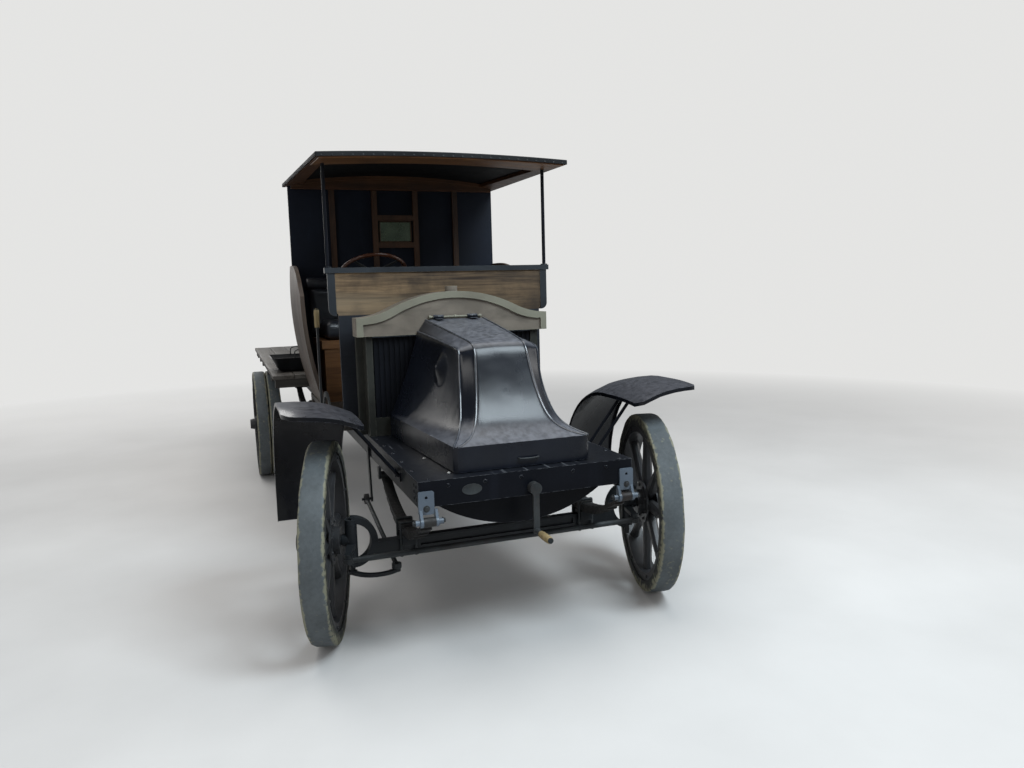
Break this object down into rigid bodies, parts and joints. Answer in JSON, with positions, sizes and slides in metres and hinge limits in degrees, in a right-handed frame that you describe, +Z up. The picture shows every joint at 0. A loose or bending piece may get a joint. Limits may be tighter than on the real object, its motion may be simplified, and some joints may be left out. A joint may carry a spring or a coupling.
{
  "type": "old military truck with an open cab and flat bed",
  "caption": "Early motor truck with a tapering scuttle bonnet, radiator behind the engine, open cab with a bowed roof and a low flat bed on spoked wheels with solid tyres.",
  "frame": {"origin": "bottom centre of the whole vehicle's box, on the ground", "axes": "+X towards the vehicle's front, +Y to its left, +Z up"},
  "size_m": [5.88, 2.038, 2.3598],
  "materials": {
    "black_paint": "worn satin black",
    "frame_paint": "worn satin black over iron",
    "bare_iron": "oiled dark iron",
    "engine_iron": "dull cast",
    "tank_paint": "faded dark grey",
    "radiator_metal": "blackened",
    "brown_wood": "worn varnish",
    "grey_wood": "weathered",
    "wall_paint": "dark painted boards",
    "rim_wood": "varnished",
    "wheel_paint": "dark painted wood",
    "tyre_rubber": "aged solid rubber",
    "seat_leather": "worn black",
    "roof_canvas": "painted canvas",
    "tray_paint": "worn black",
    "window_pane": "old clear glass"
  },
  "bodies": {
    "chassis": {"chassis_frame": "frame_paint", "front_deck": "black_paint", "frame_end_plates": "black_paint", "leaf_springs": "frame_paint", "front_axle": "frame_paint", "engine_block": "engine_iron", "engine_undertray": "black_paint", "starting_crank": "bare_iron", "radiator_core": "radiator_metal", "header_tank": "tank_paint", "radiator_frame": "tank_paint", "dash_panel": "brown_wood", "dash_frame": "black_paint", "canopy_posts": "black_paint", "roof_canopy": "roof_canvas", "roof_bows": "brown_wood", "cab_rear_wall": "wall_paint", "wall_battens": "brown_wood", "window_glass": "window_pane", "side_panels": "brown_wood", "cab_floor": "grey_wood", "seat_box": "brown_wood", "seat_cushion": "seat_leather", "seat_back": "seat_leather", "steering_column": "frame_paint", "driver_controls": "bare_iron", "front_mudguards": "black_paint", "mudguard_stays": "black_paint", "bed_deck": "grey_wood", "bed_bearers": "grey_wood", "stowage_tray": "tray_paint", "rear_axle": "frame_paint"},
    "bonnet": {"bonnet": "black_paint"},
    "steering_wheel": {"steering_wheel": "rim_wood"},
    "drop_arm": {"drop_arm": "frame_paint"},
    "drag_link": {"drag_link": "bare_iron"},
    "tie_rod": {"tie_rod": "bare_iron"},
    "knuckle_right": {"knuckle_right": "frame_paint"},
    "knuckle_left": {"knuckle_left": "frame_paint"},
    "front_wheel_right": {"front_wheel_right": "wheel_paint", "front_tyre_right": "tyre_rubber"},
    "front_wheel_left": {"front_wheel_left": "wheel_paint", "front_tyre_left": "tyre_rubber"},
    "rear_wheel_right": {"rear_wheel_right": "wheel_paint", "rear_tyre_right": "tyre_rubber"},
    "rear_wheel_left": {"rear_wheel_left": "wheel_paint", "rear_tyre_left": "tyre_rubber"}
  },
  "joints": [
    {"name": "steer_right", "type": "hinge", "parent": "chassis", "child": "knuckle_right", "pos_m": [2.32, -0.7, 0.45], "axis": [0, 0, 1], "range_deg": [-10.3, 39.7]},
    {"name": "steer_left", "type": "hinge", "parent": "chassis", "child": "knuckle_left", "pos_m": [2.32, 0.7, 0.45], "axis": [0, 0, 1], "range_deg": [-10.3, 39.7]},
    {"name": "tie_rod_pin", "type": "hinge", "parent": "knuckle_right", "child": "tie_rod", "pos_m": [2.46509, -0.73806, 0.403], "axis": [0, 0, 1], "range_deg": [-39.7, 10.3]},
    {"name": "drag_link_pin", "type": "hinge", "parent": "knuckle_right", "child": "drag_link", "pos_m": [2.36974, -0.51042, 0.317], "axis": [0, 0, 1], "range_deg": [-39.7, 10.3]},
    {"name": "drop_arm_turn", "type": "hinge", "parent": "chassis", "child": "drop_arm", "pos_m": [1.57, -0.48, 0.715], "axis": [0, 1, 0], "range_deg": [-7.2, 27.5]},
    {"name": "steering_wheel_turn", "type": "hinge", "parent": "chassis", "child": "steering_wheel", "pos_m": [0.92, -0.288, 1.673], "axis": [-0.515, 0, 0.8572], "range_deg": [-83, 318]},
    {"name": "front_right_spin", "type": "hinge", "parent": "knuckle_right", "child": "front_wheel_right", "pos_m": [2.29259, -0.80446, 0.45], "axis": [0.2538, 0.9673, 0], "continuous": true},
    {"name": "front_left_spin", "type": "hinge", "parent": "knuckle_left", "child": "front_wheel_left", "pos_m": [2.34741, 0.80446, 0.45], "axis": [0.2538, 0.9673, 0], "continuous": true},
    {"name": "rear_right_spin", "type": "hinge", "parent": "chassis", "child": "rear_wheel_right", "pos_m": [-1.247, -0.875, 0.45], "axis": [0, 1, 0], "continuous": true},
    {"name": "rear_left_spin", "type": "hinge", "parent": "chassis", "child": "rear_wheel_left", "pos_m": [-1.247, 0.875, 0.45], "axis": [0, 1, 0], "continuous": true},
    {"name": "bonnet_lift", "type": "hinge", "parent": "chassis", "child": "bonnet", "pos_m": [1.709, 0, 1.412], "axis": [0, -1, 0], "range_deg": [0, 50]}
  ],
  "couplings": [
    {"joint": "steer_left", "follows": "steer_right", "ratio": 1},
    {"joint": "tie_rod_pin", "follows": "steer_right", "ratio": -1},
    {"joint": "drag_link_pin", "follows": "steer_right", "ratio": -1},
    {"joint": "drop_arm_turn", "follows": "steer_right", "ratio": 0.69},
    {"joint": "steering_wheel_turn", "follows": "steer_right", "ratio": 8}
  ]
}
